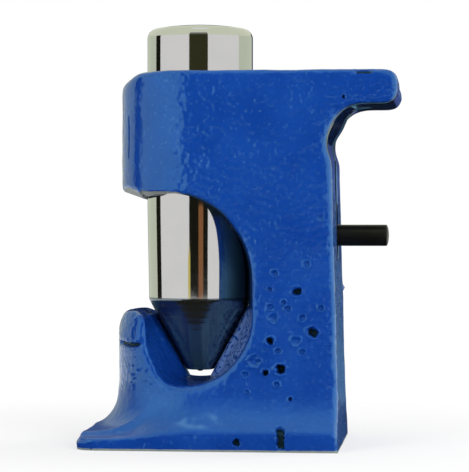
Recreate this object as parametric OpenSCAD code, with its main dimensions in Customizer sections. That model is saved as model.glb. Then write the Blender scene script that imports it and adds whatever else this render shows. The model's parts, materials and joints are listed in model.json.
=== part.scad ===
// Hammer-struck crimping press: a cast C-frame, a round ram with a blunt conical nose,
// and a lift pin that reaches out of the back of the frame through an upright slot.
// The frame of reference has its origin on the ram's axis at the underside of the base,
// with +X towards the back of the frame and +Z up. All sizes are in millimetres.

/* [Ram] */
// Diameter of the ram
ram_d = 25.4; // [22:0.1:28]
// Height of the ram's struck end above the top of the head, at rest
ram_rise = 11.9; // [8:0.1:16]
// Rounding of the struck end's edge
ram_top_round = 2.4; // [1:0.1:5]
// Crown of the struck end
ram_crown = 0.9; // [0:0.1:1.2]
// How far the ram's radius draws in at its lower end
ram_taper = 0.4; // [0:0.05:0.8]
// Length over which it draws in
taper_len = 21; // [10:0.5:22]
// Travel of the ram from its seat up to the end of the slot
lift_travel = 26.5; // [15:0.5:27]

/* [Indenter nose] */
// Diameter of the flat on the tip
tip_d = 6.7; // [4:0.1:9]
// Angle between the nose's flank and the ram's axis
nose_half_angle = 28; // [25:0.5:31]
// Height of the straight land between the flank and the joint with the ram
nose_land = 0.6; // [0.3:0.1:2]
// Diameter of the spigot that is pressed into the ram
spigot_d = 11; // [7:0.5:14]
// Length of the spigot
spigot_len = 8; // [4:0.5:10]

/* [Lift pin] */
// Diameter of the lift pin
pin_d = 5.1; // [4:0.1:6]
// Height of the pin's axis above the base, at rest
pin_z = 49.8; // [48.5:0.1:51]
// Distance from the ram's axis to the free end of the pin
pin_reach = 45.5; // [40:0.5:52]
// Depth of the pin's seat beyond the ram's axis
pin_seat = 7; // [3:0.5:9]
// Chamfer on both ends of the pin
pin_chamfer = 0.4; // [0.1:0.1:1]

/* [Frame] */
// Thickness of the head and the column, which is also the diameter of the rounded front
body_t = 37.5; // [35:0.1:44]
// Height of the top of the head
head_z = 88.4; // [87:0.1:94]
// Length of the slopes on the head's front end, above and below
head_slope_x = 5.8; // [3:0.1:7]
// Height of those slopes
head_slope_h = 2.9; // [1:0.1:4]
// Distance from the ram's axis to the back of the column, at the base
back_x = 34.5; // [31:0.1:38]
// Draft angle of the back of the column
back_draft = 1.5; // [0:0.1:2]
// Distance from the ram's axis to the end of the ledge
ledge_x = 48; // [45:0.1:54]
// Thickness of the ledge
ledge_h = 7.9; // [6:0.1:8.5]
// Rounding of the ledge's two long edges
ledge_round = 2.6; // [0.5:0.1:2.9]
// Fillet under the ledge
ledge_fillet = 8.5; // [4:0.1:9]
// How far that fillet is scooped into the column's back
ledge_scoop = 1; // [0:0.1:2]

/* [Throat] */
// Radius of the throat's lower back corner, at the two faces of the frame
throat_r = 16.2; // [15:0.1:17]
// Distance from the ram's axis to the centre of that corner, towards the front
throat_front = 1.8; // [1:0.1:2.5]
// Height of the centre of that corner
throat_low_z = 30.8; // [30:0.1:31.2]
// Radius of the throat's upper back corner, at the two faces
throat_top_r = 20.4; // [14:0.1:22]
// Height of the throat's roof at the two faces
throat_roof_z = 59.9; // [58:0.1:63]
// How far the throat draws in from the two faces to the middle plane
throat_draft = 2.5; // [1:0.1:3.5]
// Height of the front prong
prong_z = 32.1; // [31:0.1:34]
// Distance from the ram's axis to the prong's inner wall, at the two faces
prong_x = 10.8; // [10:0.1:12]
// Fillet between the prong's inner wall and the floor
prong_fillet = 8; // [4:0.1:9]
// Rounding of the prong's inner top edge
prong_round = 4.4; // [1:0.1:5]
// Bevel of the prong's outer top edge
prong_bevel = 1.8; // [0.5:0.1:3]
// Height of the anvil's floor on the middle plane
seat_z = 15.2; // [14.8:0.1:16]

/* [Base] */
// Distance from the ram's axis to the front end of the base
base_x = 26.9; // [25:0.1:34]
// Width of the base
base_w = 47; // [44:0.5:60]
// Radius of the base's front corners
base_corner_r = 4.5; // [2:0.5:9]
// Height of the base's edge at its front corners
base_edge_h = 3.8; // [2:0.1:5]
// Radius of the flare that runs from the base up into the frame
flare_r = 11.5; // [10:0.5:14]

/* [Fits] */
// Radial running clearance of the ram in its bore
bore_clear = 0.05; // [0.02:0.01:0.1]
// Clearance of the pin at the sides and ends of its slot
slot_clear = 0.3; // [0.3:0.05:0.6]
// Room for the pin below its rest position in the slot
slot_drop = 2.5; // [1:0.1:3]
// Clearance between the nose's flank and the anvil, at rest
seat_clear = 0.3; // [0.2:0.05:0.5]
// Gap between the tip and the anvil's floor, at rest
tip_gap = 2.3; // [1.5:0.1:3]

/* [Hidden] */
$fn = 96;
// Margin by which a cutting shape passes the face that it cuts
over = 1;
// Reach of cutting shapes that run clear of the whole part
reach = ledge_x + base_w;
// Thickness of the slices that a loft runs between
slice = 0.02;
ram_r = ram_d / 2;
half_t = body_t / 2;
tip_r = tip_d / 2;
tip_z = seat_z + tip_gap;
// Radius of nose and ram at their joint
foot_r = ram_r - ram_taper;
// Height of the nose from its tip to the end of the flank, and to the joint
flank_len = (foot_r - tip_r) / tan(nose_half_angle);
nose_len = flank_len + nose_land;
joint_z = tip_z + nose_len;
ram_len = head_z + ram_rise - joint_z;
bore_r = ram_r + bore_clear;
// The cast groove gives way to the ram's bore at this height
groove_top_z = prong_z + over;
throat_x = throat_r - throat_front;
// Centre of the upper corner
throat_high_z = throat_roof_z - throat_top_r;
throat_high_x = throat_x - throat_top_r;
groove_floor_z = throat_low_z - throat_r;
// Half widths of the anvil's seat at its floor and at its top, parallel to the nose's flank
seat_offset = seat_clear / cos(nose_half_angle);
seat_floor_half = tip_r + seat_offset - tip_gap * tan(nose_half_angle);
seat_top_half = tip_r + seat_offset + (groove_top_z - tip_z) * tan(nose_half_angle);
// The head's front end starts to slope at this X, and falls this far out to the reach
slope_x = head_slope_x - half_t;
slope_fall = (reach + slope_x) * head_slope_h / head_slope_x;
ledge_z = head_z - ledge_h;
back_top_x = back_x - head_z * tan(back_draft);
back_ledge_x = back_x - ledge_z * tan(back_draft);
slot_half = pin_d / 2 + slot_clear;
slot_low_z = pin_z - slot_drop;
slot_high_z = pin_z + lift_travel;
flare_z = base_edge_h + flare_r;

function arc(cx, cz, r, from, to, steps) =
    [for (i = [0:steps]) let (a = from + (to - from) * i / steps) [cx + r * cos(a), cz + r * sin(a)]];

// Turns a drawing in X and Z into a solid that runs along Y, from y0 to y1
module along_y(y0, y1) {
    translate([0, y1, 0])
        rotate([90, 0, 0])
            linear_extrude(y1 - y0)
                children();
}

// Outline of the head and the column, seen from above
module body_plan() {
    circle(half_t);
    translate([0, -half_t])
        square([reach, body_t]);
}

// Fills the corner between the column's back and the ledge's underside
module ledge_corner() {
    translate([back_ledge_x - ledge_scoop, ledge_z - ledge_fillet])
        square([ledge_fillet, ledge_fillet + over]);
}

// The ledge that the fingers pull the pin towards
module ledge_profile() {
    translate([0, ledge_z])
        square([ledge_x - ledge_round, ledge_h]);
    translate([0, ledge_z + ledge_round])
        square([ledge_x, ledge_h - 2 * ledge_round]);
    for (z = [ledge_z + ledge_round, head_z - ledge_round])
        translate([ledge_x - ledge_round, z])
            circle(ledge_round);
}

// Outline of the frame, seen from the side
module side_profile() {
    difference() {
        union() {
            polygon([
                [-reach, 0],
                [back_x, 0],
                [back_top_x, head_z],
                [slope_x, head_z],
                [-reach, head_z - slope_fall]
            ]);
            ledge_corner();
        }
        translate([back_ledge_x - ledge_scoop + ledge_fillet, ledge_z - ledge_fillet])
            circle(ledge_fillet);
    }
    ledge_profile();
}

// Outline of the base, seen from above
module base_plan() {
    translate([-base_x, -base_w / 2 + base_corner_r])
        square([base_x + back_x, base_w - 2 * base_corner_r]);
    translate([-base_x + base_corner_r, -base_w / 2])
        square([base_x + back_x - base_corner_r, base_w]);
    for (side = [-1, 1])
        translate([-base_x + base_corner_r, side * (base_w / 2 - base_corner_r)])
            circle(base_corner_r);
}

// Section of the flare, at a distance from the frame's wall
module flare_section() {
    difference() {
        translate([half_t - over, 0])
            square([flare_r + over, flare_z]);
        translate([half_t + flare_r, flare_z])
            circle(flare_r);
    }
}

// The flare runs round the front and along both sides
module flare() {
    rotate_extrude()
        flare_section();
    for (side = [0, 1])
        mirror([0, side, 0])
            rotate([90, 0, 90])
                linear_extrude(back_x)
                    flare_section();
}

module base() {
    linear_extrude(base_edge_h)
        base_plan();
    intersection() {
        linear_extrude(flare_z)
            base_plan();
        flare();
    }
}

// The anvil's groove at the two faces of the frame
module groove_face() {
    intersection() {
        translate([-throat_front, throat_low_z])
            circle(throat_r, $fn = 64);
        translate([-throat_front, 0])
            square([reach, groove_top_z]);
    }
    translate([prong_fillet - prong_x, groove_floor_z + prong_fillet])
        circle(prong_fillet, $fn = 48);
    translate([-prong_x, prong_z])
        square([prong_x + throat_x, over]);
}

// The anvil's seat on the middle plane, which the nose fits into
module groove_seat() {
    polygon([
        [-seat_top_half, groove_top_z],
        [-seat_floor_half, seat_z],
        [seat_floor_half, seat_z],
        [seat_top_half, groove_top_z]
    ]);
}

// The groove draws in from each face to the seat
module groove() {
    for (side = [0, 1])
        mirror([0, side, 0])
            hull() {
                along_y(-half_t - slice, -half_t)
                    groove_face();
                along_y(-slice, slice)
                    groove_seat();
            }
}

// The throat above the groove: its roof and its back wall draw in to the middle plane too
module upper_throat() {
    intersection() {
        for (side = [0, 1])
            mirror([0, side, 0])
                translate([throat_high_x, 0, throat_high_z])
                    rotate([90, 0, 0])
                        cylinder(h = half_t, r1 = throat_top_r - throat_draft, r2 = throat_top_r);
        translate([throat_high_x - over, -reach, throat_high_z - over])
            cube([reach, 2 * reach, reach]);
    }
    translate([0, 0, prong_z])
        linear_extrude(throat_high_z - prong_z)
            polygon([
                [-reach, -half_t - over],
                [throat_x, -half_t - over],
                [throat_x, -half_t],
                [throat_x - throat_draft, 0],
                [throat_x, half_t],
                [throat_x, half_t + over],
                [-reach, half_t + over]
            ]);
    translate([throat_high_x, 0, throat_high_z - over])
        rotate([90, 0, -90])
            linear_extrude(reach)
                polygon([
                    [-half_t - over, 0],
                    [half_t + over, 0],
                    [half_t + over, throat_top_r + over],
                    [half_t, throat_top_r + over],
                    [0, throat_top_r + over - throat_draft],
                    [-half_t, throat_top_r + over],
                    [-half_t - over, throat_top_r + over]
                ]);
}

// The slope under the head's front end
module head_slope() {
    along_y(-half_t, half_t)
        polygon([
            [slope_x, throat_roof_z],
            [-reach, throat_roof_z + slope_fall],
            [-reach, throat_high_z],
            [slope_x, throat_high_z]
        ]);
}

// Rounds the inner top edge of the prong and bevels the outer one
module prong_edge() {
    along_y(-half_t, half_t) {
        difference() {
            translate([-prong_x - prong_round, prong_z - prong_round])
                square([prong_round + over, prong_round + over]);
            translate([-prong_x - prong_round, prong_z - prong_round])
                circle(prong_round);
        }
        polygon([
            [-half_t, prong_z - prong_bevel],
            [-half_t + prong_bevel, prong_z],
            [-half_t + prong_bevel, prong_z + over],
            [-half_t - over, prong_z + over],
            [-half_t - over, prong_z - prong_bevel - over]
        ]);
    }
}

// Upright slot for the lift pin, right through the column
module pin_slot() {
    rotate([90, 0, 90])
        linear_extrude(reach) {
            translate([-slot_half, slot_low_z])
                square([2 * slot_half, slot_high_z - slot_low_z]);
            for (z = [slot_low_z, slot_high_z])
                translate([0, z])
                    circle(slot_half);
        }
}

module frame_casting() {
    color([0.05, 0.24, 0.62])
        difference() {
            intersection() {
                union() {
                    linear_extrude(head_z)
                        body_plan();
                    base();
                }
                along_y(-base_w, base_w)
                    side_profile();
            }
            groove();
            upper_throat();
            head_slope();
            prong_edge();
            pin_slot();
            translate([0, 0, groove_top_z])
                cylinder(h = head_z + over - groove_top_z, r = bore_r);
        }
}

// The bar, from its joint with the nose up to the struck end, with bores for spigot and pin
module ram() {
    side_top = ram_len - ram_crown - ram_top_round;
    color([0.82, 0.82, 0.8])
        difference() {
            translate([0, 0, joint_z])
                rotate_extrude()
                    polygon(concat(
                        [[0, 0], [foot_r, 0], [ram_r, taper_len]],
                        arc(ram_r - ram_top_round, side_top, ram_top_round, 0, 90, 8),
                        [[0, ram_len]]
                    ));
            translate([0, 0, joint_z - over])
                cylinder(h = spigot_len + over, d = spigot_d);
            translate([-pin_seat, 0, pin_z])
                rotate([0, 90, 0])
                    cylinder(h = reach, d = pin_d);
        }
}

// Blunt conical nose with its spigot
module indenter_nose() {
    color([0.14, 0.14, 0.15])
        translate([0, 0, tip_z])
            union() {
                rotate_extrude()
                    polygon([
                        [0, 0],
                        [tip_r, 0],
                        [foot_r, flank_len],
                        [foot_r, nose_len],
                        [0, nose_len]
                    ]);
                translate([0, 0, nose_len - over])
                    cylinder(h = spigot_len + over, d = spigot_d);
            }
}

module lift_pin() {
    pin_len = pin_reach + pin_seat;
    color([0.08, 0.08, 0.07])
        translate([-pin_seat, 0, pin_z])
            rotate([0, 90, 0])
                rotate_extrude()
                    polygon([
                        [0, 0],
                        [pin_d / 2 - pin_chamfer, 0],
                        [pin_d / 2, pin_chamfer],
                        [pin_d / 2, pin_len - pin_chamfer],
                        [pin_d / 2 - pin_chamfer, pin_len],
                        [0, pin_len]
                    ]);
}

frame_casting();
ram();
indenter_nose();
lift_pin();
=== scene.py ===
"""Looks of a hammer-struck crimping press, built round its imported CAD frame.

Lengths are in millimetres until a mesh is made, and MM turns them into Blender's metres.
+X points to the back of the press, +Z up, and the ram's axis is the Z axis. The near side, which
the photograph shows, is that of -Y.
"""

import json
import math

import bmesh
import bpy
import numpy as np
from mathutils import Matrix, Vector, noise

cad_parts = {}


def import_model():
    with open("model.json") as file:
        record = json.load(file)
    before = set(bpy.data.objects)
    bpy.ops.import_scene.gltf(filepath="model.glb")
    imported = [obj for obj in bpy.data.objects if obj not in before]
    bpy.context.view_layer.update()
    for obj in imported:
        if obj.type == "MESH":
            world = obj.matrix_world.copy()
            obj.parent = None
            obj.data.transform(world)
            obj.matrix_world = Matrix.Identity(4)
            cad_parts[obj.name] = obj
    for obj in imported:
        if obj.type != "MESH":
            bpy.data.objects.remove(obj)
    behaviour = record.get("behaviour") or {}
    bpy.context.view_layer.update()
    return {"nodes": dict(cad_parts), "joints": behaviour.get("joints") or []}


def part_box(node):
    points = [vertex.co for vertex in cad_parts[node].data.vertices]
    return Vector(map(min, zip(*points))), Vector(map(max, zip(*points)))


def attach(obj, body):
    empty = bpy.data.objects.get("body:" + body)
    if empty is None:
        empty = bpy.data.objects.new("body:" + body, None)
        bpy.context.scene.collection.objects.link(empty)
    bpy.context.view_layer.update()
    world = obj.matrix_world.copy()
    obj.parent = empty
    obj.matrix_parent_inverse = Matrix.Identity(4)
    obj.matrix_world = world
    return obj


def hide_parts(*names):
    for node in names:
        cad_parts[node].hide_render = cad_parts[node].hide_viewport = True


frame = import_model()

MM = 0.001


def node_box(name):
    """Lowest and highest corner of a CAD node, in millimetres."""
    return [np.array(corner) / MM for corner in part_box(name)]


# Sizes that the frame gives
head_z = node_box("frame_casting")[1][2]
ram_low, ram_high = node_box("ram")
nose_low, nose_high = node_box("indenter_nose")
pin_low, pin_high = node_box("lift_pin")
ram_r = ram_high[0]
ram_top_z = ram_high[2]
joint_z = ram_low[2]
foot_r = nose_high[0]
tip_z = nose_low[2]
pin_r = pin_high[1]
pin_z = (pin_low[2] + pin_high[2]) / 2
lift_travel = frame["joints"][0]["range_m"][1] / MM

# Sizes of the CAD part that its boxes don't give. HALF_T is half the body's thickness
HALF_T = 18.75
BORE_CLEAR = 0.05
SLOT_CLEAR = 0.3
SLOT_DROP = 2.5
THROAT_BACK_X = 14.4
THROAT_ROOF_Z = 59.9
HEAD_SLOPE_X = 12.95
LEDGE_SCOOP_X = 31.4
LEDGE_SCOOP_Z = 72.0
LEDGE_SCOOP_R = 8.5
PRONG_Z = 32.1
GROOVE_TOP_Z = PRONG_Z + 1
SEAT_Z = 15.2
RAM_TOP_ROUND = 2.4
RAM_CROWN = 0.9
TAPER_LEN = 21
TIP_R = 3.35
NOSE_HALF_ANGLE = 28
PIN_CHAMFER = 0.4

bore_r = ram_r + BORE_CLEAR
slot_half = pin_r + SLOT_CLEAR
slot_low_z = pin_z - SLOT_DROP
slot_high_z = pin_z + lift_travel
scoop_top_z = LEDGE_SCOOP_Z + LEDGE_SCOOP_R


# Meshes

# Faces of a turned piece that meet at more than this angle, in degrees, keep a sharp edge between them
TURNED_SHARP_ANGLE = 40


def link(name, mesh):
    """A new object in the scene that shows this mesh."""
    piece = bpy.data.objects.new(name, mesh)
    bpy.context.scene.collection.objects.link(piece)
    return piece


def mesh_from(name, points, faces):
    """A mesh of points in millimetres."""
    mesh = bpy.data.meshes.new(name)
    mesh.from_pydata([tuple(p) for p in np.array(points) * MM], [], faces)
    mesh.update()
    return mesh


def dress(piece, node, body, material):
    """Lets a finished piece stand for a CAD node, and move with its body."""
    piece.data.materials.clear()
    piece.data.materials.append(material)
    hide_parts(node)
    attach(piece, body)


def arc(centre_r, centre_z, radius, start, end, steps):
    """Points on an arc, as radius and height, between two angles in degrees."""
    angles = np.radians(np.linspace(start, end, steps + 1))
    return [(centre_r + radius * math.cos(a), centre_z + radius * math.sin(a)) for a in angles]


def lathe(name, profile, segments):
    """Turns a profile of radius and height, from axis to axis, about the Z axis."""
    points = [(0, 0, profile[0][1])]
    rings = profile[1:-1]
    for radius, height in rings:
        for i in range(segments):
            a = 2 * math.pi * i / segments
            points.append((radius * math.cos(a), radius * math.sin(a), height))
    points.append((0, 0, profile[-1][1]))
    last = len(points) - 1
    faces = []
    for i in range(segments):
        j = (i + 1) % segments
        faces.append((0, 1 + j, 1 + i))
        for ring in range(len(rings) - 1):
            low = 1 + ring * segments
            high = low + segments
            faces.append((low + i, low + j, high + j, high + i))
        top = 1 + (len(rings) - 1) * segments
        faces.append((top + i, top + j, last))
    mesh = mesh_from(name, points, faces)
    mesh.shade_smooth()
    mesh.set_sharp_from_angle(angle=math.radians(TURNED_SHARP_ANGLE))
    return mesh


# Materials


def add(tree, kind, inputs=None, **settings):
    """A new node, with its settings and with a value or a link for each input."""
    made = tree.nodes.new(kind)
    for name, value in settings.items():
        setattr(made, name, value)
    for name, value in (inputs or {}).items():
        if isinstance(value, bpy.types.NodeSocket):
            tree.links.new(value, made.inputs[name])
        else:
            made.inputs[name].default_value = value
    return made


def start_material(name):
    """A material with no nodes yet."""
    material = bpy.data.materials.new(name)
    material.use_nodes = True
    material.node_tree.nodes.clear()
    return material, material.node_tree


def end_material(tree, shader):
    """Joins a shader to the material's output."""
    add(tree, "ShaderNodeOutputMaterial", {"Surface": shader})


def grain(tree, place, size, detail=2.0, roughness=0.5):
    """Noise whose features are about this size in millimetres."""
    inputs = {"Vector": place, "Scale": 1 / (size * MM), "Detail": detail, "Roughness": roughness}
    return add(tree, "ShaderNodeTexNoise", inputs).outputs["Fac"]


def blend(tree, share, first, second):
    """First colour where share is 0, second where it is 1."""
    inputs = {"Fac": share, "Color1": first, "Color2": second}
    return add(tree, "ShaderNodeMixRGB", inputs).outputs["Color"]


def spread(tree, value, low, high, to_low=0.0, to_high=1.0):
    """Maps values between low and high onto another range, and clamps them to it."""
    inputs = {"Value": value, "From Min": low, "From Max": high, "To Min": to_low, "To Max": to_high}
    return add(tree, "ShaderNodeMapRange", inputs).outputs["Result"]


def maths(tree, operation, first, second):
    """One step of arithmetic on two values or links."""
    made = tree.nodes.new("ShaderNodeMath")
    made.operation = operation
    for socket, value in zip(made.inputs, (first, second)):
        if isinstance(value, bpy.types.NodeSocket):
            tree.links.new(value, socket)
        else:
            socket.default_value = value
    return made.outputs["Value"]


def bump(tree, height, depth, strength, normal=None):
    """Bump from a height of 0 to 1 that stands for a depth in millimetres."""
    inputs = {"Height": height, "Distance": depth * MM, "Strength": strength}
    if normal is not None:
        inputs["Normal"] = normal
    return add(tree, "ShaderNodeBump", inputs).outputs["Normal"]


def rgba(red, green, blue):
    """A colour that hides what is behind it."""
    return (red, green, blue, 1.0)


def grey(value):
    """A colour, or a roughness that is blended as colours are, with three equal parts."""
    return rgba(value, value, value)


def mask(tree, name):
    """One of the numbers that put_mask() keeps for each point."""
    return add(tree, "ShaderNodeAttribute", attribute_name=name).outputs["Fac"]


def paint_material():
    """Thick glossy blue paint over a sand casting, worn to the iron beneath where it was ground, with
    painted shade, sheen, highlights and reflection.
    """
    deep_blue, full_blue = rgba(0.0032, 0.040, 0.27), rgba(0.0042, 0.050, 0.31)
    # The lighter blue paints sheen on the back and highlights on the flare and on bumps
    sheen_blue, thin_sheen_blue = rgba(0.09, 0.23, 0.48), rgba(0.14, 0.25, 0.58)
    pit_shade_black, painted_shade_blue = rgba(0.001, 0.004, 0.018), rgba(0.0015, 0.008, 0.045)
    dark_iron, pale_iron = rgba(0.17, 0.18, 0.165), rgba(0.27, 0.285, 0.26)
    slick, matt, ground = grey(0.05), grey(0.6), grey(0.4)

    material, tree = start_material("blue_paint")
    place = add(tree, "ShaderNodeTexCoord").outputs["Object"]
    speck = grain(tree, place, 0.9, 1.0)
    peel = grain(tree, place, 1.2, 0.0)
    sand = grain(tree, place, 2.8, 1.0)
    cloud = grain(tree, place, 13, 3.0)
    painted_shade = mask(tree, "painted_shade")
    # Unpainted iron where machined and at the ground foot, and its grey as a painted reflection under the
    # head
    ragged = maths(tree, "ADD", mask(tree, "bare_and_reflection"), maths(tree, "MULTIPLY", sand, 0.3))
    ragged = spread(tree, ragged, 0.62, 0.72)

    blue = blend(tree, spread(tree, cloud, 0.35, 0.65), deep_blue, full_blue)
    # Painted glints: small light dots standing for highlights on bumps in the paint
    painted_glint = maths(tree, "MULTIPLY", spread(tree, speck, 0.64, 0.70), 0.15)
    blue = blend(tree, maths(tree, "MAXIMUM", painted_glint, mask(tree, "painted_sheen")), blue, sheen_blue)
    # Thin paint over speckled iron, lightened as a painted sheen
    speckle = maths(tree, "MULTIPLY", mask(tree, "thin"), spread(tree, speck, 0.40, 0.50))
    blue = blend(tree, speckle, blue, thin_sheen_blue)
    # Painted shade: the pits and marks turn near black
    blue = blend(tree, spread(tree, mask(tree, "pit"), 0.15, 0.8), blue, pit_shade_black)
    iron = blend(tree, sand, dark_iron, pale_iron)
    # Painted shade: dark navy beside the ram in the throat, under the ledge, in the pin's slot and on the
    # shaded roof
    colour = blend(tree, painted_shade, blend(tree, ragged, blue, iron), painted_shade_blue)

    gloss = spread(tree, cloud, 0.3, 0.7, 0.11, 0.19)
    gloss = blend(tree, painted_shade, gloss, slick)
    gloss = blend(tree, mask(tree, "dull"), gloss, matt)
    rough = blend(tree, ragged, gloss, ground)

    calm = maths(tree, "MAXIMUM", ragged, maths(tree, "MAXIMUM", painted_shade, mask(tree, "calm")))
    rugged = maths(tree, "MAXIMUM", maths(tree, "SUBTRACT", 0.8, calm), 0.0)
    normal = bump(tree, sand, 0.07, rugged)
    normal = bump(tree, peel, 0.25, rugged, normal)
    shader = add(
        tree,
        "ShaderNodeBsdfPrincipled",
        {
            "Base Color": colour,
            "Roughness": rough,
            "IOR": 1.75,
            "Specular Tint": rgba(0.4, 1.0, 1.0),
            "Normal": normal,
        },
    )
    end_material(tree, shader.outputs["BSDF"])
    return material


def chrome_material():
    """Polished hard chrome with hairline scratches from sliding in the bore."""
    material, tree = start_material("ram_chrome")
    place = add(tree, "ShaderNodeTexCoord").outputs["Object"]
    tall = add(tree, "ShaderNodeMapping", {"Vector": place, "Scale": (1, 1, 0.04)}).outputs["Vector"]
    scratch = grain(tree, tall, 0.35, 2.0)
    haze = grain(tree, place, 6, 3.0)
    colour = blend(tree, haze, rgba(0.60, 0.605, 0.60), rgba(0.66, 0.66, 0.65))
    rough = spread(tree, haze, 0.3, 0.7, 0.03, 0.07)
    normal = bump(tree, scratch, 0.002, 0.25)
    shader = add(
        tree,
        "ShaderNodeBsdfPrincipled",
        {"Base Color": colour, "Roughness": rough, "Metallic": 1.0, "Normal": normal},
    )
    end_material(tree, shader.outputs["BSDF"])
    return material


def nose_material():
    """Hardened steel, blackened and oiled, as turned: fine rings and some handling marks."""
    material, tree = start_material("nose_steel")
    place = add(tree, "ShaderNodeTexCoord").outputs["Object"]
    flat = add(tree, "ShaderNodeMapping", {"Vector": place, "Scale": (0.02, 0.02, 1)}).outputs["Vector"]
    rings = grain(tree, flat, 0.22, 3.0, 0.7)
    cloud = grain(tree, place, 4, 3.0)
    colour = blend(tree, cloud, rgba(0.005, 0.005, 0.003), rgba(0.011, 0.010, 0.005))
    colour = blend(tree, spread(tree, rings, 0.5, 0.68, 0, 0.8), colour, rgba(0.045, 0.038, 0.022))
    rough = spread(tree, rings, 0.3, 0.7, 0.08, 0.18)
    normal = bump(tree, rings, 0.03, 0.4)
    shader = add(
        tree,
        "ShaderNodeBsdfPrincipled",
        {
            "Base Color": colour,
            "Roughness": rough,
            "IOR": 3.05,
            "Specular Tint": rgba(0.72, 0.9, 1.0),
            "Normal": normal,
        },
    )
    end_material(tree, shader.outputs["BSDF"])
    return material


# Length of the pin's free end over which its oxide is rubbed thin
PIN_WEAR = 0.5


def pin_material():
    """Black oxide on a drawn pin, rubbed thin at the free end."""
    material, tree = start_material("pin_oxide")
    place = add(tree, "ShaderNodeTexCoord").outputs["Object"]
    long = add(tree, "ShaderNodeMapping", {"Vector": place, "Scale": (0.05, 1, 1)}).outputs["Vector"]
    drawn = grain(tree, long, 0.4, 3.0)
    cloud = grain(tree, place, 3, 3.0)
    along = add(tree, "ShaderNodeSeparateXYZ", {"Vector": place}).outputs["X"]
    end = spread(tree, along, (pin_high[0] - PIN_WEAR) * MM, pin_high[0] * MM)
    worn = maths(tree, "MULTIPLY", end, spread(tree, cloud, 0.4, 0.6, 0.4, 1.0))
    oxide = blend(tree, cloud, rgba(0.007, 0.007, 0.006), rgba(0.017, 0.016, 0.012))
    colour = blend(tree, worn, oxide, grey(0.10))
    rough = spread(tree, drawn, 0.3, 0.7, 0.28, 0.45)
    normal = bump(tree, drawn, 0.01, 0.4)
    shader = add(
        tree,
        "ShaderNodeBsdfPrincipled",
        {"Base Color": colour, "Roughness": rough, "Metallic": 0.55, "Normal": normal},
    )
    end_material(tree, shader.outputs["BSDF"])
    return material


# The casting

# Size of the even mesh's squares, and the rounds of smoothing over all the skin and on the blunt edges
VOXEL = 0.5
SKIN_ROUNDS = 6
EDGE_ROUNDS = 12
# Faces of the skin that meet at more than this angle, in degrees, keep a sharp edge between them
SKIN_SHARP_ANGLE = 55


def remeshed(mesh, voxel):
    """An even mesh of small squares over the same solid."""
    rough = link("rough", mesh.copy())
    modifier = rough.modifiers.new("voxels", "REMESH")
    modifier.mode = "VOXEL"
    modifier.voxel_size = voxel * MM
    graph = bpy.context.evaluated_depsgraph_get()
    made = bpy.data.meshes.new_from_object(rough.evaluated_get(graph))
    bpy.data.objects.remove(rough)
    return made


def read(collection, name, width, kind=float):
    """One property of all points or edges of a mesh, as an array."""
    values = np.empty(len(collection) * width, kind)
    collection.foreach_get(name, values)
    return values.reshape(-1, width)


def points_of(mesh):
    """The points of a mesh, in millimetres."""
    return read(mesh.vertices, "co", 3) / MM


def put_points(mesh, points):
    """Moves the points of a mesh to these places, in millimetres."""
    mesh.vertices.foreach_set("co", (points * MM).ravel())
    mesh.update()


def put_mask(mesh, name, values):
    """Keeps one number for each point, which the material reads by its name."""
    attribute = mesh.attributes.new(name, "FLOAT", "POINT")
    attribute.data.foreach_set("value", values.astype(np.float32))


def kept_mask(mesh, name):
    """The numbers that put_mask() keeps."""
    return read(mesh.attributes[name].data, "value", 1)[:, 0]


def neighbour_mean(points, edges):
    """Mean of the neighbours of each point."""
    first, second = edges.T
    count = np.bincount(edges.ravel(), minlength=len(points))
    total = np.stack(
        [
            np.bincount(first, points[second, axis], len(points))
            + np.bincount(second, points[first, axis], len(points))
            for axis in range(3)
        ],
        axis=1,
    )
    return total / count[:, None]


def smoothed(points, edges, weight, rounds):
    """Rounds off corners: each round moves a point halfway to the mean of its neighbours."""
    for _ in range(rounds):
        points = points + 0.5 * weight[:, None] * (neighbour_mean(points, edges) - points)
    return points


def step(values, low, high):
    """0 below low, 1 above high, and a smooth rise between."""
    share = np.clip((values - low) / (high - low), 0, 1)
    return share * share * (3 - 2 * share)


def fall(values, low, high):
    """1 below low, 0 above high, and a smooth fall between."""
    return 1 - step(values, low, high)


def band(values, low, full, fade, high):
    """0 below low and above high, 1 from full to fade, and smooth between."""
    return step(values, low, full) * fall(values, fade, high)


def noise_at(points, size, shift=0.0):
    """Noise between about -1 and 1, with features of about this size."""
    return np.array([noise.noise(Vector(p)) for p in points / size + shift])


def from_slot(points):
    """Distance from the middle line of the pin's slot, in Y and Z, and the way out from it."""
    _, y, z = points.T
    rise = z - np.clip(z, slot_low_z, slot_high_z)
    return np.hypot(y, rise), y, rise


# A point counts as machined if it lies this near to the true surface, and faces out of it by this share
MACHINED_REACH = 0.45
MACHINED_SHARE = 0.5
UNDERSIDE_REACH = 0.3
# The slot starts this far inside the bore's wall
SLOT_START = 0.5
# What the skin's bore is wider than the CAD bore, in radius
BORE_SKIN_CLEAR = 0.02
# The anvil's seat ends below this height, and the bore lies above it
SEAT_TOP_Z = GROOVE_TOP_Z - 0.2


def machined(points, normals):
    """Which points lie on the bore, in the slot and on the ground underside."""
    x, y, z = points.T
    out = np.hypot(x, y)
    to_axis = -(normals[:, 0] * x + normals[:, 1] * y) / np.maximum(out, 1)
    bore = (np.abs(out - bore_r) < MACHINED_REACH) & (to_axis > MACHINED_SHARE) & (z > SEAT_TOP_Z)
    away, side, rise = from_slot(points)
    to_slot = -(normals[:, 1] * side + normals[:, 2] * rise) / np.maximum(away, 1)
    slot = (np.abs(away - slot_half) < MACHINED_REACH) & (to_slot > MACHINED_SHARE)
    slot &= x > bore_r - SLOT_START
    underside = (z < UNDERSIDE_REACH) & (normals[:, 2] < -MACHINED_SHARE)
    return bore, slot, underside


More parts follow.
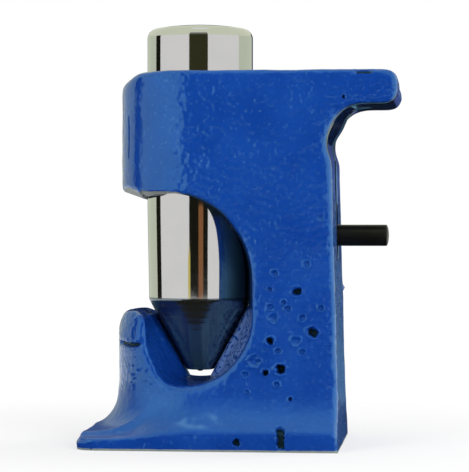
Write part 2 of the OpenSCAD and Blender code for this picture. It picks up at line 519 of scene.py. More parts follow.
def trued(points, bore, slot, underside):
    """Puts the machined points back on their true surfaces, just clear of ram and pin."""
    points = points.copy()
    out = np.hypot(points[:, 0], points[:, 1])
    points[bore, :2] *= ((bore_r + BORE_SKIN_CLEAR) / out[bore])[:, None]
    away, _, rise = from_slot(points)
    scale = slot_half / np.maximum(away, 0.5)
    points[slot, 1] *= scale[slot]
    points[slot, 2] += (rise * (scale - 1))[slot]
    points[underside, 2] = 0
    return points


# In what follows a pair of numbers is what step() or fall() takes: where a form or mark starts to rise or
# to fall off, and where it ends doing so. Four numbers are a band, as band() takes them.

# Blunt edges: along the top of head and prong in front, at the ledge's end, on the back and the flare
EDGE_REACH = 3.4
FRONT_EDGE_X = (6, 11)
LEDGE_EDGE_X, LEDGE_EDGE_Z = (42, 45), (76, 78)
BACK_EDGE_X, BACK_EDGE_Y, BACK_EDGE_Z = (29, 31.5), (14, 16), (6, 12, 80, 84)
FLARE_EDGE_Y, FLARE_EDGE_Z = (15, 17), (4, 6, 15, 20)


def blunt_edges(points):
    """How far each point belongs to one of the casting's blunt edges."""
    x, y, z = points.T
    to_edge = np.minimum(np.abs(z - head_z), np.abs(z - PRONG_Z))
    front = step(-x, *FRONT_EDGE_X) * fall(to_edge, EDGE_REACH, 2 * EDGE_REACH)
    ledge = step(x, *LEDGE_EDGE_X) * step(z, *LEDGE_EDGE_Z)
    back = step(x, *BACK_EDGE_X) * step(np.abs(y), *BACK_EDGE_Y) * band(z, *BACK_EDGE_Z)
    flare = step(np.abs(y), *FLARE_EDGE_Y) * band(z, *FLARE_EDGE_Z)
    return np.max([front, ledge, back, flare], axis=0)


# The head's front underside ends in a lip round the ram: its height there and its slope outwards
HEAD_LIP_Z, HEAD_LIP_SLOPE = 58.2, 0.35
HEAD_LIP_X, HEAD_LIP_Y, HEAD_LIP_BAND = (ram_r, ram_r + 0.5), (-19, 4), (45, 50, 62, 72)
# The throat's roof comes up beside the ram
ROOF_RISE = 0.8
ROOF_FRONT_X, ROOF_BACK_X = (ram_r - 0.3, ram_r + 0.2), (2, 12)
ROOF_Y, ROOF_BAND = (13, 18.5), (50, 54, 62, 70)
# The ledge's far end and the flare at the two sides come down
LEDGE_DROP = 1.6
LEDGE_END_X, LEDGE_END_Y, LEDGE_END_Z = (43, 47), (-8, 10), (82, 86)
FLARE_DROP = 1.2
FLARE_Y, FLARE_BAND = (17, HALF_T), (1, 5, 10, 20)


def lowered(points):
    """Draws down the head's front underside, the ledge's far end and the flare at the two sides.

    The throat's roof comes up a little beside the ram.
    """
    x, y, z = points.T
    points = points.copy()
    slope_z = THROAT_ROOF_Z + (-x - HEAD_SLOPE_X) / 2
    lip_z = HEAD_LIP_Z + HEAD_LIP_SLOPE * (np.hypot(x, y) - ram_r)
    drop = step(-x, *HEAD_LIP_X) * step(y, *HEAD_LIP_Y) * np.clip(slope_z - lip_z, 0, None)
    points[:, 2] -= drop * band(z, *HEAD_LIP_BAND)
    rise = ROOF_RISE * fall(np.abs(y), *ROOF_Y) * fall(-x, *ROOF_FRONT_X) * fall(x, *ROOF_BACK_X)
    points[:, 2] += rise * band(z, *ROOF_BAND)
    points[:, 2] -= LEDGE_DROP * step(x, *LEDGE_END_X) * step(y, *LEDGE_END_Y) * step(z, *LEDGE_END_Z)
    points[:, 2] -= FLARE_DROP * step(np.abs(y), *FLARE_Y) * band(z, *FLARE_BAND)
    return points


# The corner under the ledge: the fill's depth, its middle and width in degrees round the scoop's axis,
# and the share of the depth that is lost from the slot to the faces
FILL_DEPTH, FILL_ANGLE, FILL_WIDTH, FILL_LOSS = 2.1, 28, 34, 0.85
FILL_R = (LEDGE_SCOOP_R + 0.5, LEDGE_SCOOP_R + 7)
FILL_Y = (slot_half - 0.1, slot_half + 0.9)


def filled(points):
    """Fills the corner under the ledge beside the pin's slot, which is fuller than in the solid."""
    x, y, z = points.T
    across = x - LEDGE_SCOOP_X - LEDGE_SCOOP_R
    up = z - LEDGE_SCOOP_Z
    away = np.hypot(across, up)
    angle = np.degrees(np.arctan2(up, -across))
    fill = FILL_DEPTH * np.exp(-(((angle - FILL_ANGLE) / FILL_WIDTH) ** 2)) * fall(away, *FILL_R)
    fill *= step(np.abs(y), *FILL_Y)
    fill *= 1 - FILL_LOSS * np.clip((np.abs(y) - slot_half) / (HALF_T - slot_half), 0, 1)
    points = points.copy()
    points[:, 0] -= fill * across / away
    points[:, 2] -= fill * up / away
    return points


# What is left between nose and anvil at rest, how far the skin is moved for it, and the seat's reach
SEAT_GAP = 0.03
SEAT_PULL = 1.8
SEAT_LOW_Z = SEAT_Z + 0.7
SEAT_Y = (1, 6)


def seated(points):
    """Brings the anvil's seat up to the nose that rests in it."""
    x, y, z = points.T
    slope = math.radians(NOSE_HALF_ANGLE)
    flank = TIP_R + (z - tip_z) * math.tan(slope) + SEAT_GAP / math.cos(slope)
    in_seat = (z > SEAT_LOW_Z) & (z < SEAT_TOP_Z) & (np.abs(np.abs(x) - flank) < SEAT_PULL)
    share = in_seat * fall(np.abs(y), *SEAT_Y)
    points = points.copy()
    points[:, 0] += share * (np.sign(x) * flank - x)
    return points


# A point belongs to the near face if its Y is below this
NEAR_Y = 2.5 - HALF_T
# Places where gas bubbles left a pit in the near face: X, Z, radius and depth
PITS = [
    (24.7, 36.9, 1.15, 1.5),
    (18.5, 25.4, 1.0, 2.0),
    (20.9, 18.8, 1.3, 2.2),
    (17.4, 18.0, 0.8, 1.7),
    (28.4, 27.4, 1.35, 1.6),
    (24.5, 25.4, 1.1, 0.5),
    (19.3, 30.7, 1.1, 0.5),
    (22.6, 32.9, 0.75, 0.55),
    (21.6, 34.4, 0.6, 0.55),
    (18.5, 33.2, 0.8, 0.5),
    (26.0, 30.8, 0.8, 0.5),
    (30.3, 33.0, 0.7, 0.55),
    (19.6, 41.1, 0.75, 0.5),
    (18.4, 37.3, 0.6, 0.5),
    (27.0, 43.2, 0.8, 0.5),
    (26.0, 22.9, 0.7, 0.55),
    (20.4, 23.1, 0.7, 0.55),
    (14.8, 20.6, 1.4, 0.45),
    (12.7, 17.6, 0.7, 0.55),
    (20.1, 15.3, 0.7, 0.55),
    (23.2, 12.0, 0.5, 0.9),
    (30.3, 53.8, 0.6, 0.3),
    (35.5, 82.0, 0.45, 1.0),
    (13.2, 13.6, 0.5, 0.4),
]
# A pit's slope, how uneven its outline is, and the rim of paint round it: its height, middle and width.
# All but the height are shares of the pit's radius
PIT_EDGE = (0.35, 1.0)
PIT_UNEVEN = 0.35
RIM_RISE, RIM_AT, RIM_WIDTH = 0.18, 1.15, 0.18


def pitted(points, near):
    """Depth of the pits at each point of the near face, and the height of the rims round them."""
    depth = np.zeros(len(points))
    rim = np.zeros(len(points))
    uneven = PIT_UNEVEN * noise_at(points[near], 0.9)
    for x, z, radius, deep in PITS:
        away = np.hypot(points[near, 0] - x, points[near, 2] - z) / radius + uneven
        depth[near] = np.maximum(depth[near], deep * fall(away, *PIT_EDGE))
        rim[near] = np.maximum(rim[near], RIM_RISE * np.exp(-(((away - RIM_AT) / RIM_WIDTH) ** 2)))
    return depth, rim


# A notch and a hole in the base's near edge. Their outlines are uneven, and soft from IN to OUT
NOTCH_X, NOTCH_Z, NOTCH_HALF, NOTCH_RISE = 21.3, 3.2, 0.85, 2.4
NOTCH_Y, NOTCH_SOFT = (HALF_T, HALF_T + 0.5), 0.4
HOLE_X, HOLE_Z, HOLE_R = 11.0, 2.3, 0.75
HOLE_Y = (HALF_T + 3, HALF_T + 3.5)
MARK_DEPTH, MARK_UNEVEN, MARK_IN, MARK_OUT = 1.3, 0.45, 0.3, 0.2
# A chip in the ledge's upper near edge, where Z - Y is more than CHIP_OUT
CHIP_X, CHIP_HALF, CHIP_DEPTH, CHIP_SOFT = 40.2, 2.1, 0.95, 0.3
CHIP_OUT = head_z + HALF_T - 1.15


def edge_marks(points):
    """Depth of the notch and the hole in the base's near edge, and of the chip in the ledge's."""
    x, y, z = points.T
    uneven = MARK_UNEVEN * noise_at(points, 1.0)
    notch = fall(np.abs(x - NOTCH_X) + uneven, NOTCH_HALF - MARK_IN, NOTCH_HALF + MARK_OUT)
    notch *= fall(np.abs(z - NOTCH_Z) + uneven, NOTCH_RISE - NOTCH_SOFT, NOTCH_RISE + NOTCH_SOFT)
    notch *= step(-y, *NOTCH_Y)
    hole = fall(np.hypot(x - HOLE_X, z - HOLE_Z) + uneven, HOLE_R - MARK_IN, HOLE_R + MARK_OUT)
    hole *= step(-y, *HOLE_Y)
    chip = fall(np.abs(x - CHIP_X) + uneven, CHIP_HALF - CHIP_SOFT, CHIP_HALF)
    chip *= step(z - y, CHIP_OUT, CHIP_OUT + CHIP_SOFT)
    return np.maximum(MARK_DEPTH * np.maximum(notch, hole), CHIP_DEPTH * chip)


# A lap across the prong, and the lip above it
LAP_Z, LAP_WAVE, LAP_DEPTH, LAP_LIP = 24.6, 0.5, 1.0, 0.35
LAP_X, LAP_Y = (11.5, 13), (4.5, 7)
LAP_BELOW, LAP_ABOVE = (-0.2, 0.25, 0.45, 1.3), (-0.2, 0.2, 0.8, 3)


def lapped(points):
    """Depth of the lap that runs across the prong, and the height of the lip above it."""
    x, y, z = points.T
    below = LAP_Z + LAP_WAVE * noise_at(points, 6.0) - z
    on_prong = step(-x, *LAP_X) * step(-y, *LAP_Y)
    depth = LAP_DEPTH * on_prong * band(below, *LAP_BELOW)
    return depth, LAP_LIP * on_prong * band(-below, *LAP_ABOVE)


# A fine crease down the head's front
CREASE_Y, CREASE_LOW_Z, CREASE_HIGH_Z = -10.0, 67.6, 78.5
CREASE_DEPTH, CREASE_WAVE, CREASE_HALF = 0.75, 0.25, (0.1, 0.38)


def creased(points):
    """Depth of the fine upright crease in the head's round front."""
    x, y, z = points.T
    across = np.abs(y - CREASE_Y + CREASE_WAVE * noise_at(points, 3.0))
    along = band(z, CREASE_LOW_Z, CREASE_LOW_Z + 1, CREASE_HIGH_Z - 1, CREASE_HIGH_Z)
    return CREASE_DEPTH * fall(across, *CREASE_HALF) * along * (x < 0)


# The round front swells a little below the throat, and its foot is hollow
SWELL_X = (8, 14)
SWELL_RISE, SWELL_BAND = 0.8, (7, 14, 27, 32)
HOLLOW_DEPTH, HOLLOW_BAND = 0.9, (1.6, 3.4, 4, 13)
# The near face is wrinkled beside the ledge's corner
WRINKLE_X, WRINKLE_Z, WRINKLE_R, WRINKLE_RISE = 33.0, 77.0, (3, 7), 0.22
# A burr on the column's back edge
BURR, BURR_R, BURR_RISE = (33.7, 18.4, 36.7), (0.2, 1.1), 0.9
# The seam between the two halves of the mould, down the round front
SEAM_X, SEAM_HALF, SEAM_WAVE, SEAM_RISE = (12, 14), (0.25, 0.9), 0.3, 0.16


def lumps(points, normals):
    """Height of the casting's own marks over a smooth skin."""
    x, y, z = points.T
    forward = step(-normals[:, 0], 0.1, 0.6)
    swell = SWELL_RISE * band(z, *SWELL_BAND) - HOLLOW_DEPTH * band(z, *HOLLOW_BAND)
    height = swell * forward * step(-x, *SWELL_X)
    wrinkled = fall(np.hypot(x - WRINKLE_X, z - WRINKLE_Z), *WRINKLE_R)
    wrinkled *= step(-normals[:, 1], 0.5, 0.9)
    height += WRINKLE_RISE * noise_at(points, 1.7, 5.1) * wrinkled
    height += BURR_RISE * fall(np.linalg.norm(points - np.array(BURR), axis=1), *BURR_R)
    seam = fall(np.abs(y + SEAM_WAVE * noise_at(points, 9.0)), *SEAM_HALF)
    return height + SEAM_RISE * seam * step(-x, *SEAM_X) * forward


# Painted shade beside the ram in the throat, and on the round underside of the ledge
THROAT_X, THROAT_Y = (4, 8), (HALF_T / 3, HALF_T - 1)
THROAT_BAND = (GROOVE_TOP_Z - 2, GROOVE_TOP_Z + 1, THROAT_ROOF_Z, THROAT_ROOF_Z + 1)
UNDER_LEDGE_X = (LEDGE_SCOOP_X - 1, LEDGE_SCOOP_X)
UNDER_LEDGE_BAND = (LEDGE_SCOOP_Z - 9, LEDGE_SCOOP_Z - 2, scoop_top_z + 1, scoop_top_z + 3)
UNDER_LEDGE_Y = (HALF_T - 4, HALF_T - 2)


def painted_shade_places(points, normals):
    """Where painted shade darkens the paint: in the throat beside the ram and under the ledge."""
    x, y, z = points.T
    throat = fall(np.abs(y), *THROAT_Y) * step(x, *THROAT_X) * (x < THROAT_BACK_X + 0.5)
    throat *= band(z, *THROAT_BAND)
    ledge = step(x, *UNDER_LEDGE_X) * band(z, *UNDER_LEDGE_BAND)
    ledge *= step(np.maximum(normals[:, 0], -normals[:, 2]), 0.3, 0.6)
    ledge *= 1 - step(np.abs(normals[:, 1]), 0.25, 0.6) * step(np.abs(y), *UNDER_LEDGE_Y)
    return throat, ledge


# Shade on the throat's roof behind the ram, and on the inner side of the head's lip
SHADE_BAND = (53, 55, 61.5, 63)
SHADE_ROOF_X = (-4, 0, 12, 16)
SHADE_LIP_X = (ram_r - 1, ram_r - 0.3, ram_r + 0.6, ram_r + 1.6)
SHADE_LIP_R = (HALF_T - 3.5, HALF_T - 2.5)


def shaded_roof(points, normals):
    """The throat's roof behind the ram and the inner side of the head's lip, which lie in shade."""
    x, y, z = points.T
    lip = band(-x, *SHADE_LIP_X) * fall(np.hypot(x, y), *SHADE_LIP_R)
    roof = step(-normals[:, 2], 0.3, 0.6) * band(x, *SHADE_ROOF_X)
    return np.maximum(lip, roof) * band(z, *SHADE_BAND)


# Middle and half sizes of the patch of painted highlights
HIGHLIGHT_X, HIGHLIGHT_Z, HIGHLIGHT_HALF_X, HIGHLIGHT_HALF_Z = 2.0, 7.0, 7, 2.2


def flare_highlights(points):
    """Painted highlights on the near foot of the flare."""
    x, y, z = points.T
    patch = fall(np.hypot((x - HIGHLIGHT_X) / HIGHLIGHT_HALF_X, (z - HIGHLIGHT_Z) / HIGHLIGHT_HALF_Z), 0.6, 1)
    return 0.4 * patch * (y < -HALF_T) * step(noise_at(points, 1.9, 3.3), -0.1, 0.5)


# A painted reflection on the head's underside, and thin paint with a painted sheen on the groove's back
# wall
REFLECTION_X, REFLECTION_BAND = (0, 4), (54, 56, 61.5, 63)
THIN_X, THIN_Y = (1, 3), (HALF_T - 2.4, HALF_T - 1.6)
THIN_Z = (GROOVE_TOP_Z - 2, GROOVE_TOP_Z)


def underside_reflection(points, normals):
    """Where the head's underside takes the grey of iron as a painted reflection, in front of the ram's
    axis.
    """
    x, _, z = points.T
    return step(-normals[:, 2], 0.5, 0.8) * band(z, *REFLECTION_BAND) * step(-x, *REFLECTION_X)


def thin_paint_and_sheen(points, normals):
    """Where the paint is thin over the speckled iron of the groove's back wall, lightened as a painted
    sheen.
    """
    x, y, z = points.T
    on_wall = fall(np.abs(y), *THIN_Y) * step(x, *THIN_X) * fall(z, *THIN_Z)
    return on_wall * step(-normals[:, 0], 0.1, 0.4)


def softened(mesh):
    """Rounds off the casting's edges, and keeps which points were cast and which lie in the slot."""
    points = points_of(mesh)
    edges = read(mesh.edges, "vertices", 2, np.int32)
    bore, slot, underside = machined(points, read(mesh.vertices, "normal", 3))
    cast = (~(bore | slot | underside)).astype(float)
    points = trued(points, bore, slot, underside)
    points = smoothed(points, edges, cast, SKIN_ROUNDS)
    points = smoothed(points, edges, cast * blunt_edges(points), EDGE_ROUNDS)
    put_points(mesh, filled(lowered(points)))
    put_mask(mesh, "cast", cast)
    put_mask(mesh, "slot", slot.astype(float))


# Cuts of each edge where pits and marks need smaller squares, the rounds that even these out, and how
# far they reach past a pit or a hole
FINE_CUTS = 2
FINE_ROUNDS = 6
FINE_MARGIN = 0.8
# Reach from the middle of the lap and of the crease, and the furthest Y of the lap
LAP_REACH, LAP_FAR_Y, CREASE_REACH = 6, -4, 6.5


def fine_places():
    """Where the pits and marks need smaller squares: X, Z, reach and the furthest Y."""
    places = [(x, z, radius + FINE_MARGIN, NEAR_Y) for x, z, radius, _ in PITS]
    places.append((NOTCH_X, NOTCH_Z, NOTCH_RISE + 1, -HALF_T))
    places.append((HOLE_X, HOLE_Z, HOLE_R + FINE_MARGIN, -HALF_T))
    places.append((-HALF_T, LAP_Z, LAP_REACH, LAP_FAR_Y))
    places.append((-HALF_T, (CREASE_LOW_Z + CREASE_HIGH_Z) / 2, CREASE_REACH, CREASE_Y + 2))
    return places


def refined(mesh):
    """Cuts the mesh into smaller squares at the fine places."""
    net = bmesh.new()
    net.from_mesh(mesh)
    middles = np.array([(e.verts[0].co + e.verts[1].co) / 2 for e in net.edges]) / MM
    wanted = np.zeros(len(middles), bool)
    for x, z, reach, far_y in fine_places():
        wanted |= (np.hypot(middles[:, 0] - x, middles[:, 2] - z) < reach) & (middles[:, 1] < far_y)
    edges = [e for e, near in zip(net.edges, wanted) if near]
    made = bmesh.ops.subdivide_edges(net, edges=edges, cuts=FINE_CUTS, use_grid_fill=True)
    bmesh.ops.triangulate(net, faces=[f for f in net.faces if len(f.verts) > 4])
    fine = [v for v in made["geom_inner"] if isinstance(v, bmesh.types.BMVert)]
    every_way = {"use_axis_x": True, "use_axis_y": True, "use_axis_z": True}
    for _ in range(FINE_ROUNDS):
        bmesh.ops.smooth_vert(net, verts=fine, factor=0.5, **every_way)
    net.to_mesh(mesh)
    net.free()


# Unevenness of the whole skin, coarse and fine, and of the groove's back wall
SKIN_WAVE, SKIN_GRAIN, WALL_GRAIN = 0.12, 0.05, 0.12
# Where the paint changes: at the ground foot, on the back with a painted sheen, on the dusty flare, round
# the slot's edge and on the head's front
GROUND_Z = (0.2, 0.7)
BACK_X = (20, 25)
DUST_R, DUST_Z = (HALF_T - 1.2, HALF_T + 0.3), (14, 20)
SLOT_EDGE = (slot_half + 0.8, slot_half + 1.6)
HEAD_FRONT_Z = (55, 62)


def roughened(mesh):
    """Gives the casting its skin, pits and marks, and the masks that the paint reads."""
    points = points_of(mesh)
    normals = read(mesh.vertices, "normal", 3)
    cast = step(kept_mask(mesh, "cast"), 0.5, 1.0)
    near = (points[:, 1] < NEAR_Y) & (normals[:, 1] < -0.5)
    pit, rim = pitted(points, near)
    lap, lip = lapped(points)
    pit = np.max([pit, edge_marks(points), lap, creased(points)], axis=0)
    thin = thin_paint_and_sheen(points, normals)
    throat, ledge = painted_shade_places(points, normals)
    height = SKIN_WAVE * noise_at(points, 9.0) + SKIN_GRAIN * noise_at(points, 3.0, 31.7)
    height *= 1 - ledge
    height += WALL_GRAIN * thin * noise_at(points, 1.4, 11.3)
    height += lumps(points, normals) + rim + lip - pit
    points = seated(points + normals * (height * cast)[:, None])
    points[:, 2] = np.clip(points[:, 2], 0, None)
    put_points(mesh, points)

    x, y, z = points.T
    pit = step(pit, 0.45, 1.0)
    shade = shaded_roof(points, normals)
    back = step(normals[:, 0], 0.3, 0.7) * step(x, *BACK_X)
    dusty = step(np.hypot(np.minimum(x, 0), y), *DUST_R) * step(normals[:, 2], 0.02, 0.3)
    dusty *= fall(z, *DUST_Z)
    slot_edge = fall(from_slot(points)[0], *SLOT_EDGE) * step(x, *BACK_X)
    slot_edge *= step(np.abs(normals[:, 1]), 0.04, 0.2)
    front = step(-normals[:, 0], 0.1, 0.5) * (0.25 + 0.3 * step(z, *HEAD_FRONT_Z))
    dull = np.max([throat, pit, shade, slot_edge, 0.4 * dusty], axis=0)
    # Unpainted iron where machined and at the ground foot, and a painted reflection on the head's front
    # underside
    put_mask(mesh, "bare_and_reflection", np.max([1 - cast, fall(z, *GROUND_Z), underside_reflection(points, normals)], axis=0))
    # Painted shade in the pits and marks
    put_mask(mesh, "pit", pit)
    # Painted shade in the throat, under the ledge, in the pin's slot and on the shaded roof and lip
    put_mask(mesh, "painted_shade", np.max([throat, ledge, kept_mask(mesh, "slot"), shade], axis=0))
    # Thin paint over speckled iron on the groove's back wall, with a painted sheen
    put_mask(mesh, "thin", thin)
    # Painted sheen on the back, and painted highlights on the flare's foot
    put_mask(mesh, "painted_sheen", np.maximum(0.3 * back, flare_highlights(points)))
    put_mask(mesh, "dull", dull)
    put_mask(mesh, "calm", np.maximum(dull, front))


def casting():
    """The CAD casting with the rounded edges, the skin and the faults of a painted sand casting."""
    mesh = remeshed(frame["nodes"]["frame_casting"].data, VOXEL)
    softened(mesh)
    refined(mesh)
    roughened(mesh)
    mesh.shade_smooth()
    mesh.set_sharp_from_angle(angle=math.radians(SKIN_SHARP_ANGLE))
    dress(link("casting_skin", mesh), "frame_casting", "frame", paint_material())


# The turned pieces

# Sides of the three pieces, and the rings along each length of the bar
BAR_SIDES, NOSE_SIDES, PIN_SIDES = 192, 160, 64
BAR_RINGS = 24
# The rounding of the bar's top ends at this angle, in degrees, and the crown goes on from there through
# rings at these shares of its radius
TOP_END, TOP_STEPS = 80, 16
CROWN_SHARES = np.linspace(0.92, 0.08, 12)


def ram_bar():
    """The ram: a bar with a rounded, crowned struck end, which tapers a little below the head."""
    side_z = ram_top_z - RAM_CROWN - RAM_TOP_ROUND
    taper_z = joint_z + TAPER_LEN
    profile = [(0, joint_z)]
    for z in np.linspace(joint_z, taper_z, BAR_RINGS):
        profile.append((ram_r - (ram_r - foot_r) * (taper_z - z) / TAPER_LEN, z))
    profile += [(ram_r, z) for z in np.linspace(taper_z, side_z, BAR_RINGS)[1:-1]]
    profile += arc(ram_r - RAM_TOP_ROUND, side_z, RAM_TOP_ROUND, 0, TOP_END, TOP_STEPS)
    edge_r, edge_z = profile[-1]
    for share in CROWN_SHARES:
        profile.append((edge_r * share, edge_z + (ram_top_z - edge_z) * (1 - share**2)))
    profile.append((0, ram_top_z))
    piece = link("ram_bar", lathe("ram_bar", profile, BAR_SIDES))
    dress(piece, "ram", "ram", chrome_material())


# The nib under the nose's tip, as radius and height from the tip, and the tip's broken edge
NIB = [(0, -0.45), (0.35, -0.45), (0.75, -0.25), (0.9, 0)]
TIP_EDGE_R, TIP_EDGE_Z = 0.25, 0.2
# Rounding of the nose's upper corner
NOSE_CORNER_R, CORNER_STEPS = 1.4, 8
# Rings that the tool turned into the flank: how many, and the height and pace of two waves
FLANK_RINGS = 96
RING_WAVES = [(0.008, 1.9), (0.006, 0.7)]


def nose():
    """The blunt cone with the tool's fine rings, and the nib that the parting tool left."""
    slope = math.radians(NOSE_HALF_ANGLE)
    profile = [(radius, tip_z + height) for radius, height in NIB]
    profile += [(TIP_R - TIP_EDGE_R, tip_z), (TIP_R, tip_z + TIP_EDGE_Z)]
    corner_z = tip_z + (foot_r - TIP_R) / math.tan(slope) + NOSE_CORNER_R * math.tan(slope / 2)
    corner = arc(foot_r - NOSE_CORNER_R, corner_z, NOSE_CORNER_R, -NOSE_HALF_ANGLE, 0, CORNER_STEPS)
    flank_r = corner[0][0]
    for i in range(1, FLANK_RINGS):
        radius = TIP_R + (flank_r - TIP_R) * i / FLANK_RINGS
        ring = sum(height * math.sin(pace * i) for height, pace in RING_WAVES)
        profile.append((radius + ring, tip_z + (radius - TIP_R) / math.tan(slope)))
    profile += corner
    profile += [(foot_r, joint_z), (0, joint_z)]
    piece = link("nose_cone", lathe("nose_cone", profile, NOSE_SIDES))
    dress(piece, "indenter_nose", "ram", nose_material())


# Rings along the pin, and the last angle and the steps of its rounded free end
PIN_RINGS = 40
PIN_END, PIN_STEPS = 75, 5
# The dome on the free end: shares of its radius with heights, and what its middle falls short of the CAD
PIN_DOME = [(0.7, 0.22), (0.35, 0.32)]
PIN_SHORT = 0.05


def pin():
    """The lift pin, with a broken edge and a slightly domed free end."""
    length = pin_high[0] - pin_low[0]
    round_z = length - 2 * PIN_CHAMFER
    profile = [(0, 0), (pin_r - PIN_CHAMFER, 0), (pin_r, PIN_CHAMFER)]
    profile += [(pin_r, z) for z in np.linspace(PIN_CHAMFER, round_z, PIN_RINGS)[1:]]
    profile += arc(pin_r - PIN_CHAMFER, round_z, PIN_CHAMFER, 0, PIN_END, PIN_STEPS)[1:]
    edge_r, edge_z = profile[-1]
    profile += [(edge_r * share, edge_z + height) for share, height in PIN_DOME]
    profile.append((0, length - PIN_SHORT))
    mesh = lathe("lift_pin_bar", profile, PIN_SIDES)
    # The lathe turns about Z, and the pin lies along X
    x, y, z = points_of(mesh).T
    put_points(mesh, np.stack([z + pin_low[0], y, pin_z - x], axis=1))
    dress(link("lift_pin_bar", mesh), "lift_pin", "ram", pin_material())


# The studio

# Half the floor's width, the distances between which it turns white, and how white it is at the press
FLOOR_HALF = 3000
FLOOR_FADE = (40, 130)
FLOOR_WHITE = 0.6


def glow(tree, colour):
    """Light of one colour that a surface gives off."""
    return add(tree, "ShaderNodeEmission", {"Color": colour, "Strength": 1.0}).outputs["Emission"]


def seen_by_eye(tree):
    """1 for rays from the camera, and for those that a glossy or clear surface sends on."""
    path = add(tree, "ShaderNodeLightPath")
    seen = maths(tree, "MAXIMUM", path.outputs["Is Camera Ray"], path.outputs["Is Glossy Ray"])
    return maths(tree, "MAXIMUM", seen, path.outputs["Is Transmission Ray"])


def floor():
    """A pale floor that keeps the shadow near the press and turns white further off."""
    corners = [(-FLOOR_HALF, -FLOOR_HALF, 0), (FLOOR_HALF, -FLOOR_HALF, 0)]
    corners += [(FLOOR_HALF, FLOOR_HALF, 0), (-FLOOR_HALF, FLOOR_HALF, 0)]
    piece = link("floor", mesh_from("floor", corners, [(0, 1, 2, 3)]))
    material, tree = start_material("pale_floor")
    place = add(tree, "ShaderNodeTexCoord").outputs["Object"]
    far = add(tree, "ShaderNodeVectorMath", {0: place}, operation="LENGTH").outputs["Value"]
    fade = spread(tree, far, FLOOR_FADE[0] * MM, FLOOR_FADE[1] * MM, FLOOR_WHITE, 1.0)
    pale = add(tree, "ShaderNodeBsdfDiffuse", {"Color": grey(0.9)}).outputs["BSDF"]
    white = glow(tree, grey(1))
    share = maths(tree, "MULTIPLY", fade, seen_by_eye(tree))
    mixed = add(tree, "ShaderNodeMixShader", {0: share, 1: pale, 2: white})
    end_material(tree, mixed.outputs["Shader"])
    piece.data.materials.append(material)


# Radius and height of the studio's round wall, and the flat panes in a piece of wall or mat
ROOM_R = 470
ROOM_HIGH = 360
WALL_PANES = 24
MAT_PANES = 48
# Bearings of the dark gap between the two soft boxes in front
GAP = (-17, 23)
# Colours of what is mirrored
SOFT_WHITE = (0.90, 0.89, 0.89)
BLACK = (0.012, 0.012, 0.008)
OLIVE = (0.040, 0.040, 0.018)
DARK_GREY = (0.10, 0.10, 0.08)
MID_GREY = (0.33, 0.34, 0.28)
BEIGE = (0.67, 0.72, 0.58)
PALE_BEIGE = (0.80, 0.84, 0.67)
NIGHT_BLUE = (0.006, 0.010, 0.020)
STEEL_BLUE = (0.14, 0.30, 0.44)
DEEP_BLUE = (0.06, 0.09, 0.27)
COPPER = (0.30, 0.13, 0.055)
YELLOW = (0.72, 0.60, 0.16)
RUBBER = (0.018, 0.019, 0.017)
BLUE_RUBBER = (0.07, 0.15, 0.22)


def mirrored_only(piece, colour):
    """A plain glowing surface that only polished surfaces see, so that it adds no light."""
    material, tree = start_material(piece.name)
    end_material(tree, glow(tree, rgba(*colour)))
    piece.data.materials.append(material)
    piece.visible_camera = False
    piece.visible_diffuse = False
    piece.visible_shadow = False


def wall(name, start, end, colour, high=ROOM_HIGH, radius=ROOM_R, low=0):
    """A piece of the studio's round wall between two bearings, in degrees from the front towards +X."""
    points = []
    for a in np.radians(np.linspace(start, end, WALL_PANES + 1)):
        for z in (low, high):
            points.append((radius * math.sin(a), -radius * math.cos(a), z))
    faces = [(2 * i, 2 * i + 1, 2 * i + 3, 2 * i + 2) for i in range(WALL_PANES)]
    mirrored_only(link(name, mesh_from(name, points, faces)), colour)


def mat(name, start, end, colour, radius, height):
    """A dark piece of bench top between two bearings."""
    angles = np.radians(np.linspace(start, end, MAT_PANES + 1))
    points = [(0, 0, height)]
    points += [(radius * math.sin(a), -radius * math.cos(a), height) for a in angles]
    faces = [(0, i, i + 1) for i in range(1, len(angles))]
    mirrored_only(link(name, mesh_from(name, points, faces)), colour)


def room():
    """What chrome and paint mirror: two soft boxes, the gap between them, the walls and the bench top.

    Where one piece stands in front of another, its radius is smaller. The gap grows lighter upwards.
    """
    wall("soft_box_left", -89, GAP[0], SOFT_WHITE)
    wall("soft_box_right", GAP[1], 99, SOFT_WHITE)
    wall("gap_front", *GAP, OLIVE)
    wall("gap_front_low", *GAP, BLACK, 95, ROOM_R - 2)
    wall("gap_left", -104, -89, BLACK)
    wall("wall_left", -158, -104, BEIGE)
    wall("wall_right", 99, 160, BEIGE)
    wall("wall_back", 160, 202, NIGHT_BLUE)
    wall("wall_far", 174, 180, STEEL_BLUE, 34, ROOM_R - 2)
    wall("wall_far_high", 168, 176, DEEP_BLUE, 140, ROOM_R - 2, 64)
    wall("door_post", 3, 13, COPPER, 56, ROOM_R - 5)
    wall("lamp_edge", -20, -15, YELLOW, 22, ROOM_R - 5)
    wall("wall_high", -180, 180, PALE_BEIGE, 2500, ROOM_R - 6, 200)
    wall("gap_front_mid", *GAP, DARK_GREY, 290, ROOM_R - 30, 190)
    wall("gap_front_high", *GAP, MID_GREY, 430, ROOM_R - 30, 290)
    mat("mat_middle", -180, 180, RUBBER, 120, 0.3)
    mat("mat_front", -35, 50, RUBBER, 380, 0.2)
    mat("mat_back", 150, 188, BLUE_RUBBER, ROOM_R, 0.1)


def aim(piece, place, target):
    """Puts a lamp or the camera at its place, and points it at its target."""
    piece.location = Vector(place) * MM
    piece.rotation_euler = (Vector(target) - Vector(place)).to_track_quat("-Z", "Y").to_euler()


# What the lamps point at, and the widths and heights of those at the sides and of the one above
LAMP_TARGET = (8, 0, 45)
SIDE_LAMP = (500, 600)
TOP_LAMP = (700, 700)
# Strength of the even light that comes from everywhere
WORLD_LIGHT = 0.2


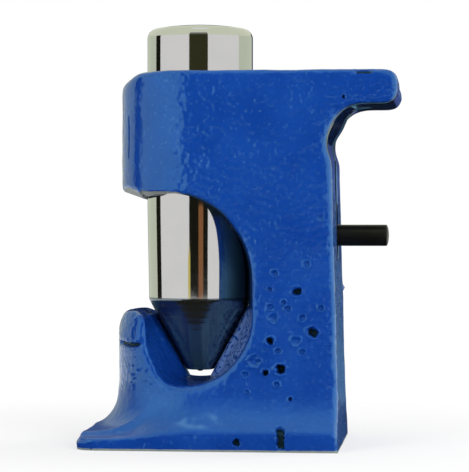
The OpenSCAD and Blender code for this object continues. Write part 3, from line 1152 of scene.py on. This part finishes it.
def lamp(name, place, size, power):
    """A soft box that lights the press but isn't itself mirrored in it."""
    light = bpy.data.lights.new(name, "AREA")
    light.shape = "RECTANGLE"
    light.size, light.size_y = size[0] * MM, size[1] * MM
    light.energy = power
    piece = bpy.data.objects.new(name, light)
    bpy.context.scene.collection.objects.link(piece)
    aim(piece, place, LAMP_TARGET)
    piece.visible_glossy = False


def lamps():
    """Two lamps in front, one behind and one above, with their powers in watts."""
    lamp("lamp_left", (-560, -640, 420), SIDE_LAMP, 3.8)
    lamp("lamp_right", (620, -640, 420), SIDE_LAMP, 5.4)
    lamp("lamp_back", (760, 420, 380), SIDE_LAMP, 3.5)
    lamp("lamp_top", (20, 100, 900), TOP_LAMP, 3.2)


def world():
    """White where it is seen, and a dim even light on everything."""
    made = bpy.data.worlds.new("studio")
    bpy.context.scene.world = made
    made.use_nodes = True
    tree = made.node_tree
    tree.nodes.clear()
    dim = add(tree, "ShaderNodeBackground", {"Color": grey(1), "Strength": WORLD_LIGHT})
    white = add(tree, "ShaderNodeBackground", {"Color": grey(1), "Strength": 1.0})
    ends = {1: dim.outputs["Background"], 2: white.outputs["Background"]}
    mixed = add(tree, "ShaderNodeMixShader", {0: seen_by_eye(tree), **ends})
    add(tree, "ShaderNodeOutputWorld", {"Surface": mixed.outputs["Shader"]})


# The camera's place and target, its focal length and sensor, and the nearest and furthest that it sees
CAMERA_PLACE = (61.9, -518.5, 53.9)
CAMERA_TARGET = (8.3, 0, 49.6)
CAMERA_LENS = 165
CAMERA_SENSOR = 36
CAMERA_CLIP = (50, 20000)


def camera():
    """At the photograph's place: in front, a little to the back end's side, at half the height."""
    data = bpy.data.cameras.new("camera")
    data.sensor_width = CAMERA_SENSOR
    data.lens = CAMERA_LENS
    data.clip_start, data.clip_end = CAMERA_CLIP[0] * MM, CAMERA_CLIP[1] * MM
    piece = bpy.data.objects.new("camera", data)
    bpy.context.scene.collection.objects.link(piece)
    aim(piece, CAMERA_PLACE, CAMERA_TARGET)
    bpy.context.scene.camera = piece


bpy.context.scene.view_settings.view_transform = "Standard"
casting()
ram_bar()
nose()
pin()
floor()
room()
lamps()
world()
camera()
